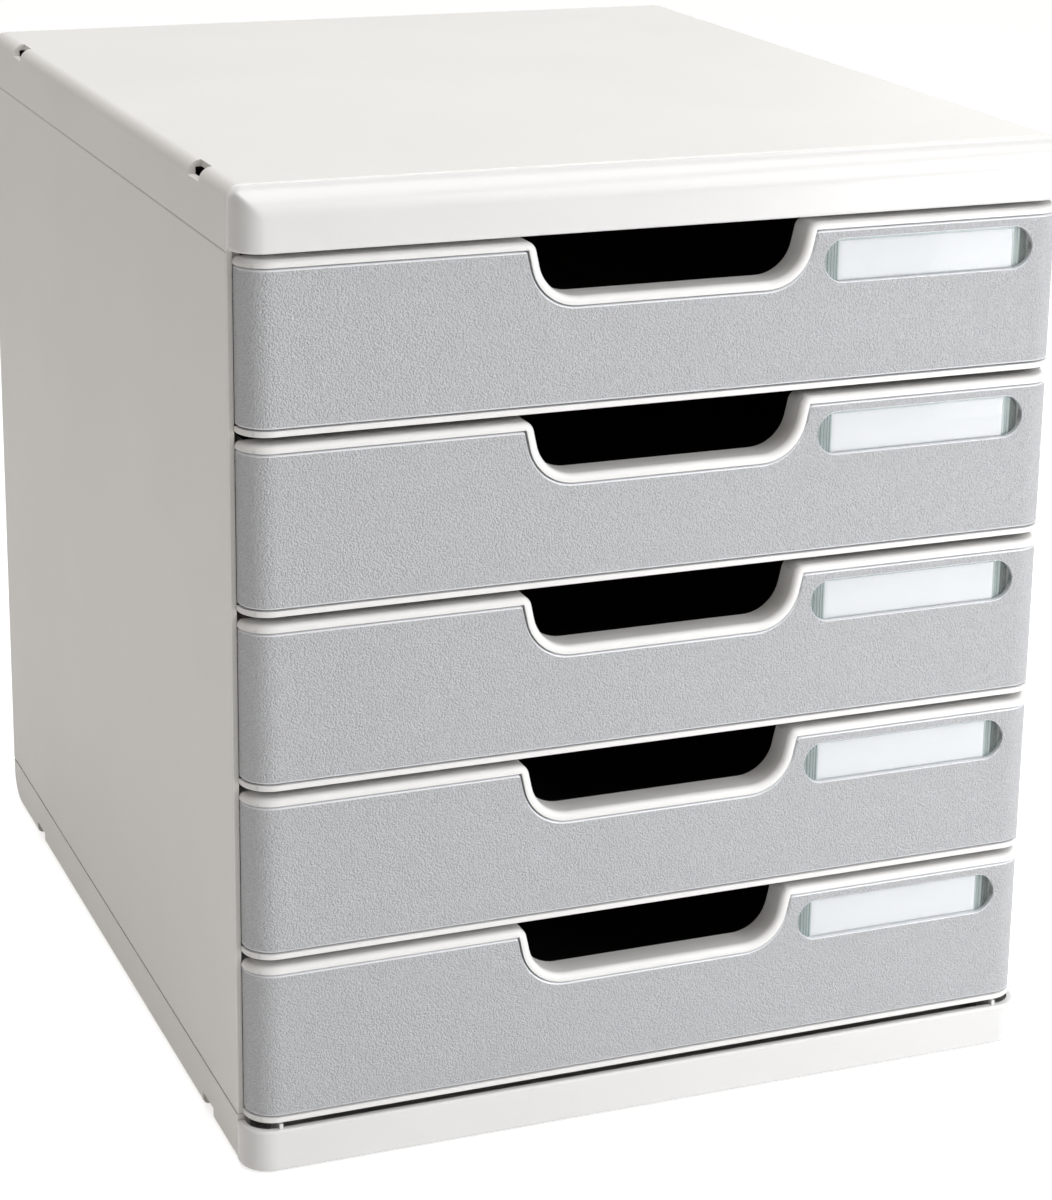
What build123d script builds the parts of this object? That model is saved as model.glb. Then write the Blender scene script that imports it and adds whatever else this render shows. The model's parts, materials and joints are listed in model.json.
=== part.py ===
from build123d import *
import math
import os

os.makedirs("parts", exist_ok=True)

# Desktop unit of stacked drawers for A4 papers. The origin is the middle of the footprint, on the
# surface that the unit stands on. The fronts face -Y, +X is to the right seen from there, +Z is up.

# Driving dimensions of the housing, in millimetres
unit_width = 288.0
unit_depth = 346.0
drawer_count = 5
foot_stand_out = 1.0
bottom_rail_height = 14.5
top_rail_height = 19.9
cover_skirt_height = 20.4
base_skirt_height = 16.4
cover_wall = 2.6
cover_plate = 2.8
base_floor = 2.5
rear_edge_radius = 12.0
cover_rim_radius = 4.5
base_rim_radius = 2.0
seam_bevel = 0.4

# Front rails and the plane behind them where the housing's other shells start
rail_end_radius = 10.0
top_rail_depth = 10.5
top_rail_brow_radius = 9.5
bottom_rail_depth = 11.8
rail_wall = 2.5
rail_edge_radius = 1.0
rail_tab_width = 14.0
rail_tab_thickness = 2.2
rail_tab_reach = 8.0
rail_tab_count = 4
spacer_rib_thickness = 1.2
spacer_rib_from_side = 11.3
spacer_rib_gap = 0.6

# Side panels, their runners and the back panel
panel_start = 12.0
panel_wall = 2.0
panel_inset = 0.15
panel_edge_radius = 0.6
panel_rear_inset = 0.8
tongue_thickness = 2.0
tongue_root_height = 5.0
runner_start = 14.0
ledge_thickness = 2.5
guide_thickness = 2.0
guide_width = 6.0
stop_rib_start = 20.0
stop_rib_thickness = 3.0
stop_rib_width = 7.0
back_panel_thickness = 2.2
back_groove_lip = 2.0
back_groove_depth = 3.0

# Drawer fronts
drawer_front_height = 55.2
drawer_gap = 2.7
lower_gap = 2.3
upper_gap = 2.0
front_side_gap = 2.0
front_setback = 1.0
front_rear = 11.5
front_corner_radius = 10.0
front_wall = 2.2
lip_thickness = 2.4
lip_roll_radius = 2.0
band_height = 1.9
band_roll_radius = 0.5

# Finger gap in each front
finger_from_window = 3.15
finger_slope = 12.5
finger_depth = 18.4
finger_floor_radius = 16.0
finger_lip_thickness = 3.0
finger_lip_corner_radius = 4.0

# Facia let into each front
facia_recess = 0.2
facia_thickness = 2.1
facia_groove = 0.5
facia_edge_radius = 0.8
facia_corner_radius = 1.2

# Label window and card
window_length = 76.5
window_height = 14.4
window_from_end = 12.55
window_top_margin = 3.1
window_recess = 0.8
window_rim_radius = 0.3
window_grip_ribs = 5
window_grip_pitch = 1.15
window_grip_depth = 0.5
card_length = 64.0
card_height = 13.2
card_thickness = 0.4
card_pocket_depth = 0.6
card_slot_length = 3.6
card_slot_from_card = 2.8

# Trays
tray_side_room = 9.2
tray_top_drop = 5.7
tray_lift = 1.6
tray_wall = 2.0
tray_floor = 2.0
tray_rear_gap = 13.0
tray_corner_radius = 5.0
flange_thickness = 2.5
catch_width = 5.0
catch_height = 4.5
catch_length = 6.0
drawer_travel = 245.0

# Snap pegs that hold each front on its tray
peg_radius = 2.5
peg_head_radius = 3.4
peg_head_length = 1.6
peg_height = 15.0
peg_from_end = 24.0

# Sockets cut across the cover's and the base's side edges, for joining stacked units
socket_length = 12.4
socket_depth = 4.5
socket_wall = 2.6
socket_from_front = 46.7
socket_from_rear = 50.5
socket_hole_length = 10.6
socket_hole_drop = 2.2

# Feet
foot_radius = 7.0
foot_height = 2.6
foot_edge_radius = 0.5
foot_boss_thickness = 2.0
foot_from_side = 26.0
foot_from_end = 36.0

# Clearances
seam = 0.3
seat_gap = 0.1
slide_gap = 0.3
side_gap = 1.0
plug_gap = 0.2

# Places that follow from the sizes above
front_y = -unit_depth / 2
rear_y = unit_depth / 2
base_z = foot_stand_out
bottom_rail_top = base_z + bottom_rail_height
drawer_pitch = drawer_front_height + drawer_gap
lowest_drawer_z = bottom_rail_top + lower_gap
highest_drawer_z = lowest_drawer_z + (drawer_count - 1) * drawer_pitch
top_rail_bottom = highest_drawer_z + drawer_front_height + upper_gap
unit_height = top_rail_bottom + top_rail_height
cover_skirt_bottom = unit_height - cover_skirt_height
base_skirt_top = base_z + base_skirt_height
base_floor_top = base_z + base_floor
cover_plate_underside = unit_height - cover_plate
half_width = unit_width / 2
skirt_inner_x = half_width - cover_wall
panel_outer_x = half_width - panel_inset
panel_inner_x = panel_outer_x - panel_wall
front_half_width = half_width - front_side_gap
shell_inset = facia_recess + facia_thickness + seat_gap
tray_front = front_setback + shell_inset + front_wall
back_panel_rear = unit_depth - cover_wall - plug_gap
back_panel_front = back_panel_rear - back_panel_thickness
tray_rear = back_panel_front - tray_rear_gap
tray_half_width = panel_inner_x - tray_side_room
flange_top = drawer_front_height - tray_top_drop
flange_bottom = flange_top - flange_thickness
ledge_top = flange_bottom - slide_gap
ledge_bottom = ledge_top - ledge_thickness
guide_bottom = flange_top + slide_gap
flange_outer_x = panel_inner_x - side_gap
runner_inner_x = tray_half_width + side_gap
stop_rib_rear = stop_rib_start + stop_rib_thickness
catch_front = stop_rib_rear + drawer_travel + slide_gap
catch_top = ledge_bottom - slide_gap
lip_bottom = drawer_front_height - lip_thickness
facia_top = lip_bottom - facia_groove
facia_bottom = band_height + facia_groove
finger_floor = facia_top - finger_depth
window_centre_z = facia_top - window_top_margin - window_height / 2
window_centre_x = front_half_width - window_from_end - window_length / 2
card_bottom = window_centre_z - window_height / 2
finger_half_width = window_centre_x - window_length / 2 - finger_from_window
peg_end_x = front_half_width - peg_from_end
peg_columns = (-peg_end_x, -peg_end_x / 3, peg_end_x / 3, peg_end_x)
far = 2 * unit_depth


def block(x, y, z):
    """Box between two limits on each axis, with y measured back from the unit's front plane."""
    size = (x[1] - x[0], y[1] - y[0], z[1] - z[0])
    middle = ((x[0] + x[1]) / 2, (y[0] + y[1]) / 2, (z[0] + z[1]) / 2)
    return Pos(*middle) * Box(*size)


def on_plane(shape, axis, place):
    """Edges of a shape whose middle lies at a place along an axis."""
    return shape.edges().filter_by_position(axis, place - 0.01, place + 0.01)


def plan(half, front, rear, radius):
    """Plan of a front piece: a rectangle whose two front corners are rounded."""
    sheet = Pos(0, (front + rear) / 2) * Rectangle(2 * half, rear - front)
    corners = sheet.vertices().sort_by(Axis.Y)[:2]
    return fillet(corners, min(radius, 0.98 * (rear - front)))


def upright(face, low, high):
    """Plan face drawn up between two heights."""
    return Pos(0, 0, low) * extrude(face, amount=high - low)


def crosswise(face, half):
    """Face drawn in (depth, height), taken from the left side to the right side."""
    return extrude(Plane.YZ.offset(-half) * face, amount=2 * half)


def lengthwise(face, front, rear):
    """Face drawn in (width, height), taken from one depth back to another."""
    return extrude(Plane.XZ.offset(-front) * face, amount=front - rear)


def outline_edges(slab, height):
    """Edges round a plan at one height, without the straight one at its rear."""
    return on_plane(slab, Axis.Z, height).sort_by(Axis.Y)[:-1]


def placed(shape, lift=0.0):
    """Shape moved from the front plane's own place to its place in the unit."""
    return Pos(0, front_y, lift) * shape


def write(name, shape):
    """One file for each named piece."""
    export_step(shape, f"parts/{name}.step")


def socket_places():
    """Depths of the edge sockets, measured back from the unit's front plane."""
    return (socket_from_front, unit_depth - socket_from_rear)


def rim_edges(shell, level):
    """Edges round both side faces of a shell, without those at its open level and its front."""
    sides = on_plane(shell, Axis.X, half_width) + on_plane(shell, Axis.X, -half_width)
    wanted = [edge for edge in sides if abs(edge.center().Z - level) > 0.01]
    front = min(edge.center().Y for edge in wanted)
    return [edge for edge in wanted if edge.center().Y > front + 0.01]


def socket_pocket(side, depth, edge_z, inward):
    """Walls of one edge socket, and the space cut out of them."""
    x_edge = side * half_width
    near = sorted((x_edge, x_edge - side * (socket_depth + socket_wall)))
    across = (depth - socket_length / 2 - socket_wall, depth + socket_length / 2 + socket_wall)
    tall = sorted((edge_z, edge_z + inward * (socket_depth + socket_wall)))
    walls = block(near, across, tall)
    mouth_x = sorted((x_edge + side, x_edge - side * socket_depth))
    mouth_y = (depth - socket_length / 2, depth + socket_length / 2)
    mouth_z = sorted((edge_z - inward, edge_z + inward * socket_depth))
    hole_x = sorted((x_edge - side * socket_wall, x_edge - side * 2 * (socket_depth + socket_wall)))
    hole_rear = depth + socket_length / 2 + socket_wall
    hole_y = (hole_rear - socket_hole_length, hole_rear)
    hole_z = sorted((edge_z + inward * socket_hole_drop, edge_z + inward * 2 * (socket_depth + socket_wall)))
    space = block(mouth_x, mouth_y, mouth_z) + block(hole_x, hole_y, hole_z)
    return walls, space


def housing_profile(front, inset, low, high, level_up):
    """Side view of the cover or the base, with its rear edge rounded at the closed level."""
    sheet = Pos((front + unit_depth - inset) / 2, (low + high) / 2)
    sheet = sheet * Rectangle(unit_depth - inset - front, high - low)
    rear_corners = sheet.vertices().sort_by(Axis.X)[-2:].sort_by(Axis.Y)
    corner = rear_corners[-1] if level_up else rear_corners[0]
    return fillet(corner, min(rear_edge_radius - inset, 0.9 * (high - low)))


def front_rim(shell, start, level):
    """Edges round the open front of a shell, without the one at its open level."""
    edges = on_plane(shell, Axis.Y, start)
    return [edge for edge in edges if abs(edge.center().Z - level) > 0.01]


def add_sockets(shell, outer, edge_z, inward):
    """Shell with the four edge sockets, kept inside its outer form."""
    for side in (-1, 1):
        for depth in socket_places():
            walls, space = socket_pocket(side, depth, edge_z, inward)
            shell = shell + (walls & outer)
            shell = shell - space
    return shell


def top_cover():
    """Cap over the whole unit, open below, behind the top front rail."""
    start = top_rail_depth + seam
    face = housing_profile(start, 0, cover_skirt_bottom, unit_height, True)
    outer = crosswise(face, half_width)
    outer = fillet(rim_edges(outer, cover_skirt_bottom), cover_rim_radius)
    outer = chamfer(front_rim(outer, start, cover_skirt_bottom), seam_bevel)
    hollow_face = housing_profile(start - 1, cover_wall, cover_skirt_bottom - 1, cover_plate_underside, True)
    shell = outer - crosswise(hollow_face, skirt_inner_x)
    return placed(add_sockets(shell, outer, unit_height, -1))


def base_tray():
    """Tray under the whole unit, open above, behind the bottom front rail."""
    start = bottom_rail_depth + seam
    face = housing_profile(start, 0, base_z, base_skirt_top, False)
    outer = crosswise(face, half_width)
    outer = fillet(rim_edges(outer, base_skirt_top), base_rim_radius)
    outer = chamfer(front_rim(outer, start, base_skirt_top), seam_bevel)
    hollow_face = housing_profile(start - 1, cover_wall, base_floor_top, base_skirt_top + 1, False)
    shell = outer - crosswise(hollow_face, skirt_inner_x)
    shell = add_sockets(shell, outer, base_z, 1)
    for x, y in foot_places():
        boss = Cylinder(foot_radius + cover_wall, foot_boss_thickness)
        shell = shell + Pos(x, y, base_floor_top + foot_boss_thickness / 2) * boss
    for x, y in foot_places():
        well = Cylinder(foot_radius + seam, foot_height)
        shell = shell - Pos(x, y, foot_height / 2) * well
    return placed(shell)


def foot_places():
    """Middles of the four feet, with the depth measured from the front plane."""
    across = half_width - foot_from_side
    depths = (foot_from_end, unit_depth - foot_from_end)
    return [(x, y) for x in (-across, across) for y in depths]


def rubber_feet():
    """Four round pads let into the base."""
    pad = Cylinder(foot_radius, foot_height)
    pad = fillet(on_plane(pad, Axis.Z, -foot_height / 2), foot_edge_radius)
    return Compound(children=[placed(Pos(x, y, foot_height / 2) * pad) for x, y in foot_places()])


def rail_tabs(low, high, start, reach):
    """Row of tabs that hook a rail under the cover or over the base's floor."""
    pitch = (unit_width - 4 * rail_end_radius) / rail_tab_count
    tabs = []
    for index in range(rail_tab_count):
        x = (index - (rail_tab_count - 1) / 2) * pitch
        tabs.append(block((x - rail_tab_width / 2, x + rail_tab_width / 2), (start, reach), (low, high)))
    return tabs


def rail_side(inset, low, high, depth, brow):
    """Side view of a rail, with its upper front edge rounded."""
    sheet = Pos((inset + depth) / 2, (low + high) / 2) * Rectangle(depth - inset, high - low)
    corner = sheet.vertices().sort_by(Axis.X)[:2].sort_by(Axis.Y)[-1]
    return fillet(corner, min(brow, 0.98 * (depth - inset), 0.98 * (high - low)))


def rail_front_view(low, high):
    """Front view of the top rail, with the same rounded upper corners as the cover's rim."""
    sheet = Pos(0, (low + high) / 2) * Rectangle(unit_width, high - low)
    return fillet(sheet.vertices().sort_by(Axis.Y)[-2:], min(cover_rim_radius, 0.9 * (high - low)))


def top_front_rail():
    """Rail over the drawers: rounded in plan at its ends and over its upper front edge."""
    outer = upright(plan(half_width, 0, top_rail_depth, rail_end_radius), top_rail_bottom, unit_height)
    brow = rail_side(0, top_rail_bottom, unit_height, top_rail_depth, top_rail_brow_radius)
    outer = outer & crosswise(brow, half_width)
    outer = outer & lengthwise(rail_front_view(top_rail_bottom, unit_height), -1, top_rail_depth + 1)
    outer = fillet(outline_edges(outer, top_rail_bottom), rail_edge_radius)
    outer = chamfer(front_rim(outer, top_rail_depth, top_rail_bottom), seam_bevel)
    inner_rear = top_rail_depth + 1
    inner_plan = plan(half_width - rail_wall, rail_wall, inner_rear, rail_end_radius - rail_wall)
    inner_low = top_rail_bottom + rail_wall
    inner_high = unit_height - rail_wall
    hollow = upright(inner_plan, inner_low, inner_high)
    inner_brow = top_rail_brow_radius - rail_wall
    inner_side = rail_side(rail_wall, inner_low, inner_high, inner_rear, inner_brow)
    hollow = hollow & crosswise(inner_side, half_width)
    rail = outer - hollow
    tab_top = cover_plate_underside - plug_gap
    tab_low = tab_top - rail_tab_thickness
    for tab in rail_tabs(tab_low, tab_top, rail_wall + inner_brow, top_rail_depth + rail_tab_reach):
        rail = rail + tab
    for root in rail_tabs(tab_low, inner_high + plug_gap, rail_wall + inner_brow - 2, top_rail_depth):
        rail = rail + root
    return placed(rail)


def bottom_front_rail():
    """Low rail under the drawers, with a thin spacer rib beside each rounded end."""
    outer = upright(plan(half_width, 0, bottom_rail_depth, rail_end_radius), base_z, bottom_rail_top)
    outer = fillet(outline_edges(outer, base_z) + outline_edges(outer, bottom_rail_top), rail_edge_radius)
    inner_plan = plan(half_width - rail_wall, rail_wall, bottom_rail_depth + 1, rail_end_radius - rail_wall)
    rail = outer - upright(inner_plan, base_z - 1, bottom_rail_top + 1)
    tab_low = base_floor_top + plug_gap
    tab_top = tab_low + rail_tab_thickness
    for tab in rail_tabs(tab_low, tab_top, rail_wall / 2, bottom_rail_depth + rail_tab_reach):
        rail = rail + tab
    rib_outer_x = half_width - spacer_rib_from_side
    rib_y = (rail_wall / 2, bottom_rail_depth - seam)
    rib_z = (tab_low, lowest_drawer_z - spacer_rib_gap)
    for rib_x in (-rib_outer_x, rib_outer_x - spacer_rib_thickness):
        rail = rail + block((rib_x, rib_x + spacer_rib_thickness), rib_y, rib_z)
    return placed(rail)


def side_panel():
    """Right side wall, with a ledge, a guide and a stop rib for each drawer, and its two tongues."""
    rear = unit_depth - panel_rear_inset
    wall_z = (base_skirt_top + seam, cover_skirt_bottom - seam)
    wall = block((panel_inner_x, panel_outer_x), (panel_start, rear), wall_z)
    outer_edges = on_plane(wall, Axis.X, panel_outer_x).sort_by(Axis.Y)[:-1]
    panel = fillet(outer_edges, min(panel_edge_radius, 0.4 * panel_wall))
    tongue_outer_x = skirt_inner_x - plug_gap
    tongue_x = (tongue_outer_x - tongue_thickness, tongue_outer_x)
    tongue_y = (panel_start + side_gap, unit_depth - cover_wall - rear_edge_radius)
    root_x = (tongue_x[0], panel_inner_x + plug_gap)
    upper_root = (wall_z[1] - tongue_root_height, wall_z[1])
    lower_root = (wall_z[0], wall_z[0] + tongue_root_height)
    panel = panel + block(root_x, tongue_y, upper_root) + block(root_x, tongue_y, lower_root)
    socket_reach = socket_depth + socket_wall + seam
    panel = panel + block(tongue_x, tongue_y, (upper_root[0], unit_height - socket_reach))
    panel = panel + block(tongue_x, tongue_y, (base_z + socket_reach, lower_root[1]))
    groove_front = back_panel_front - seam
    lip_x = (panel_inner_x - back_groove_depth, panel_inner_x + plug_gap)
    panel = panel + block(lip_x, (groove_front - back_groove_lip, groove_front), wall_z)
    for index in range(drawer_count):
        level = lowest_drawer_z + index * drawer_pitch
        panel = panel + runner(level, groove_front)
    return placed(panel)


def runner(level, rear):
    """Ledge under one tray's flange, guide over it and the rib that stops the tray's catch."""
    along = (runner_start, rear - back_groove_lip / 2)
    wall_x = panel_inner_x + plug_gap
    ledge = block((runner_inner_x, wall_x), along, (level + ledge_bottom, level + ledge_top))
    guide_z = (level + guide_bottom, level + guide_bottom + guide_thickness)
    guide = block((panel_inner_x - guide_width, wall_x), along, guide_z)
    rib_x = (panel_inner_x - stop_rib_width, wall_x)
    rib_z = (level + catch_top - catch_height, level + ledge_bottom + plug_gap)
    rib = block(rib_x, (stop_rib_start, stop_rib_rear), rib_z)
    return ledge + guide + rib


def back_panel():
    """Plain sheet held between the side walls, the cover and the base."""
    half = panel_inner_x - seam
    low = base_z + rear_edge_radius
    high = unit_height - rear_edge_radius
    return placed(block((-half, half), (back_panel_front, back_panel_rear), (low, high)))


def finger_prism(inset, top, front, rear):
    """Space of the finger gap, drawn in by inset from the groove's line, up to a height."""
    slope = math.tan(math.radians(finger_slope))
    floor = finger_floor + inset
    half_at_facia = finger_half_width - inset / math.cos(math.radians(finger_slope))
    half_top = half_at_facia + slope * (top - facia_top)
    half_floor = half_at_facia - slope * (facia_top - floor)
    points = [(-half_top, top), (-half_floor, floor), (half_floor, floor), (half_top, top)]
    face = make_face(Polyline(*points, close=True))
    corners = face.vertices().sort_by(Axis.Y)[:2]
    face = fillet(corners, min(finger_floor_radius - inset, 0.9 * (top - floor), 0.9 * half_floor))
    return lengthwise(face, front, rear)


def front_slab(inset, low, high, upper_roll, lower_roll):
    """Slab of a front's plan, drawn in by inset, with its front edges rolled."""
    radius = front_corner_radius - inset
    slab = upright(plan(front_half_width - inset, front_setback + inset, front_rear, radius), low, high)
    if upper_roll > 0:
        slab = fillet(outline_edges(slab, high), upper_roll)
    if lower_roll > 0:
        slab = fillet(outline_edges(slab, low), lower_roll)
    return slab


def front_core(inset):
    """Tall form of a front's plan, drawn in by inset, for hollowing."""
    radius = front_corner_radius - inset
    inner = plan(front_half_width - inset, front_setback + inset, front_rear + 1, radius)
    return upright(inner, -far, far)


def window_prism(growth, front, rear):
    """Stadium of the label window, grown all round, between two depths."""
    face = SlotOverall(window_length + 2 * growth, window_height + 2 * growth)
    return lengthwise(Pos(window_centre_x, window_centre_z) * face, front, rear)


def drawer_front():
    """Pale moulding: upper lip, finger lip, thin lower band and the wall that backs the facia."""
    prism_top = drawer_front_height + finger_depth
    gap = finger_prism(finger_lip_thickness, prism_top, 0, front_rear + 1)
    low = finger_floor - finger_lip_thickness
    lip_form = front_slab(0, low, drawer_front_height, 0, 0) - gap
    crests = on_plane(lip_form, Axis.Z, drawer_front_height).filter_by(Axis.Y)
    crests = crests.filter_by_position(Axis.X, -front_half_width + 1, front_half_width - 1)
    lip_form = fillet(crests, min(finger_lip_corner_radius, 1.5 * lip_thickness))
    face_edges = on_plane(lip_form, Axis.Y, front_setback).filter_by_position(Axis.Z, low + 1, far)
    face_edges = [edge for edge in face_edges if not is_upright(edge)]
    end_edges = outline_edges(lip_form, drawer_front_height)
    end_edges = [edge for edge in end_edges if abs(edge.center().X) > front_half_width - front_corner_radius]
    roll = min(lip_roll_radius, 0.9 * lip_thickness)
    lip_form = fillet(unique_edges(face_edges + end_edges), roll)
    lip_zone = front_slab(0, lip_bottom, drawer_front_height, 0, 0)
    lip_zone = lip_zone + finger_prism(facia_groove / 2, drawer_front_height, 0, front_rear + 1)
    body = lip_form & lip_zone
    wall = front_slab(shell_inset, 0, lip_bottom + plug_gap, 0, 0) - front_core(shell_inset + front_wall)
    band = front_slab(0, 0, band_height, 0, band_roll_radius) - front_core(shell_inset + front_wall)
    body = body + (wall - gap) + band
    wall_front = front_setback + shell_inset
    card_z = (card_bottom - seat_gap, card_bottom + card_height + seat_gap)
    card_x = (window_centre_x - card_length / 2 - seat_gap, window_centre_x + card_length / 2 + seat_gap)
    slot_start = window_centre_x + card_length / 2 + card_slot_from_card
    slot_x = (slot_start, slot_start + card_slot_length)
    body = body - block(card_x, (wall_front - 1, wall_front + card_pocket_depth), card_z)
    body = body - block(slot_x, (wall_front - 1, tray_front + 1), card_z)
    for x in peg_columns:
        body = body + snap_peg(x)
    return body


def is_upright(edge):
    """True for an edge that runs straight up."""
    box = edge.bounding_box()
    return box.size.X < 0.01 and box.size.Y < 0.01


def unique_edges(edges):
    """Edges with those that were picked twice kept once."""
    kept = []
    for edge in edges:
        if not any(edge.is_same(other) for other in kept):
            kept.append(edge)
    return kept


def along_y(radius, x, z, front, rear):
    """Round bar along the depth."""
    return lengthwise(Pos(x, z) * Circle(radius), front, rear)


def snap_peg(x):
    """Peg with a head, through the tray's front wall."""
    neck_end = tray_front + tray_wall + slide_gap
    neck = along_y(peg_radius, x, peg_height, tray_front - front_wall / 2, neck_end)
    head = along_y(peg_head_radius, x, peg_height, neck_end, neck_end + peg_head_length)
    return neck + head


def drawer_facia():
    """Grained facing between the lip and the band, round both ends and round the finger gap."""
    form = front_slab(facia_recess, facia_bottom, facia_top, 0, 0)
    form = form - finger_prism(-facia_groove / 2, facia_top + 1, 0, front_rear + 1)
    corners = on_plane(form, Axis.Z, facia_top).filter_by(Axis.Y)
    corners = corners.filter_by_position(Axis.X, -front_half_width + 1, front_half_width - 1)
    form = fillet(corners, facia_corner_radius)
    face = front_setback + facia_recess
    face_edges = [edge for edge in on_plane(form, Axis.Y, face) if not is_upright(edge)]
    end_edges = outline_edges(form, facia_top) + outline_edges(form, facia_bottom)
    reach = front_half_width - front_corner_radius
    end_edges = [edge for edge in end_edges if abs(edge.center().X) > reach]
    form = fillet(unique_edges(face_edges + end_edges), min(facia_edge_radius, 0.5 * facia_thickness))
    form = form - front_core(facia_recess + facia_thickness)
    form = form - window_prism(0, 0, front_rear)
    rim_z = (window_centre_z - window_height, facia_top - 1)
    rim = on_plane(form, Axis.Y, face).filter_by_position(Axis.Z, *rim_z)
    rim = rim.filter_by_position(Axis.X, window_centre_x - window_length / 2 - 1, front_half_width - 1)
    return fillet(rim, window_rim_radius)


def label_window():
    """Clear stadium set back in the facia, ribbed behind both ends as a grip."""
    front = front_setback + facia_recess + window_recess
    rear = front_setback + facia_recess + facia_thickness
    pane = window_prism(-seat_gap, front, rear)
    start = card_length / 2 + window_grip_pitch
    for side in (-1, 1):
        for index in range(window_grip_ribs):
            x = window_centre_x + side * (start + index * window_grip_pitch)
            half = 0.4 * window_grip_pitch
            notch = make_face(Polyline((x - half, rear + 0.1), (x, rear - window_grip_depth),
                                       (x + half, rear + 0.1), close=True))
            pane = pane - upright(notch, -far, far)
    return pane


def label_card():
    """Blank paper card in its shallow pocket behind the window."""
    front = front_setback + shell_inset + seat_gap
    x = (window_centre_x - card_length / 2, window_centre_x + card_length / 2)
    z = (card_bottom, card_bottom + card_height)
    return block(x, (front, front + card_thickness), z)


def drawer_tray():
    """Open tray with side flanges to slide on, catches under them and a cut for the finger gap."""
    form = block((-tray_half_width, tray_half_width), (tray_front, tray_rear), (tray_lift, flange_top))
    form = fillet(form.edges().filter_by(Axis.Z), tray_corner_radius)
    inner_x = tray_half_width - tray_wall
    space = block((-inner_x, inner_x), (tray_front + tray_wall, tray_rear - tray_wall),
                  (tray_lift + tray_floor, flange_top + tray_corner_radius))
    space = fillet(space.edges().filter_by(Axis.Z), tray_corner_radius - tray_wall)
    space = fillet(on_plane(space, Axis.Z, tray_lift + tray_floor), (tray_corner_radius - tray_wall) / 2)
    tray = form - space
    for side in (-1, 1):
        flange_x = sorted((side * inner_x, side * flange_outer_x))
        flange_y = (front_rear + side_gap, tray_rear - tray_corner_radius)
        wing = block(flange_x, flange_y, (flange_bottom, flange_top))
        catch_x = sorted((side * inner_x, side * (tray_half_width + catch_width)))
        catch_y = (catch_front, catch_front + catch_length)
        catch = block(catch_x, catch_y, (catch_top - catch_height, catch_top))
        tray = tray + (wing - space) + (catch - space)
    tray = tray - finger_prism(-slide_gap, flange_top + finger_depth, 0, front_rear + side_gap)
    for x in peg_columns:
        tray = tray - along_y(peg_radius + slide_gap, x, peg_height, 0, front_rear)
    return tray


write("top_cover", top_cover())
write("base_tray", base_tray())
write("rubber_feet", rubber_feet())
write("top_front_rail", top_front_rail())
write("bottom_front_rail", bottom_front_rail())
right_panel = side_panel()
write("right_side_panel", right_panel)
write("left_side_panel", mirror(right_panel, about=Plane.YZ))
write("back_panel", back_panel())

drawer_pieces = {
    "tray": drawer_tray(),
    "front": drawer_front(),
    "facia": drawer_facia(),
    "label_window": label_window(),
    "label_card": label_card(),
}
for number in range(1, drawer_count + 1):
    drawer_z = lowest_drawer_z + (drawer_count - number) * drawer_pitch
    for piece_name, piece in drawer_pieces.items():
        write(f"drawer_{number}_{piece_name}", placed(piece, drawer_z))
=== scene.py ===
import json
import math

import bpy
from mathutils import Matrix, Vector

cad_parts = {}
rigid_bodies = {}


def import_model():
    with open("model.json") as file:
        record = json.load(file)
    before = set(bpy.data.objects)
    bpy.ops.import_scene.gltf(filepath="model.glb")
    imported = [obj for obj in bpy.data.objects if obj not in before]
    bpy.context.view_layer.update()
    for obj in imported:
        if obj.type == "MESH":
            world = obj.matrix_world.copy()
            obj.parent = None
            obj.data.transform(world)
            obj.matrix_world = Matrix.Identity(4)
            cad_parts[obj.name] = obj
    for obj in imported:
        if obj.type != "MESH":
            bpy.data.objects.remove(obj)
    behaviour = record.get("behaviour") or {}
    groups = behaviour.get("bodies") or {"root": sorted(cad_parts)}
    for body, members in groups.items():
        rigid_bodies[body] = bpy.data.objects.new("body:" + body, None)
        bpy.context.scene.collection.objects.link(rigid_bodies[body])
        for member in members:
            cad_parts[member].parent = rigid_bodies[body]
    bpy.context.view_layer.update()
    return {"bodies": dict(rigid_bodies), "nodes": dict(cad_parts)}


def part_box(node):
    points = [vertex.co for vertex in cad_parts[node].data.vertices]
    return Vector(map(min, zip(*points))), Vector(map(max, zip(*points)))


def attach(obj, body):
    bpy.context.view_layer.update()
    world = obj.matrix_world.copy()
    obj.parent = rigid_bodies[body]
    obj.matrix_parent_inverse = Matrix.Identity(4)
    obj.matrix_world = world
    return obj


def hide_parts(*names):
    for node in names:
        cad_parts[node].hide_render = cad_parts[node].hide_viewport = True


bl_info = {
    "name": "Desktop Drawer Unit",
    "version": (1, 0, 0),
    "blender": (4, 5, 0),
    "location": "View3D > Sidebar > Drawer Unit",
    "description": "Dresses a desktop unit of five sliding drawers: moulded housing, grained "
                   "drawer facings, label windows with blank cards, and a plain studio",
    "category": "Object",
}

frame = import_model()

DRAWERS = [int(name.split("_")[1]) for name in frame["bodies"] if name.startswith("drawer_")]
RAIL_LOW, RAIL_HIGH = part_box("top_front_rail")
COVER_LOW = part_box("top_cover")[0]
WINDOW_LOW, WINDOW_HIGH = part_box("drawer_1_label_window")
CARD_LOW, CARD_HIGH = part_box("drawer_1_label_card")
MM = 0.001

# Distances under which the modelling takes two places for one
WELD = 0.002 * MM
CUT_WELD = 0.001 * MM
HAIR = 0.01 * MM

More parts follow.
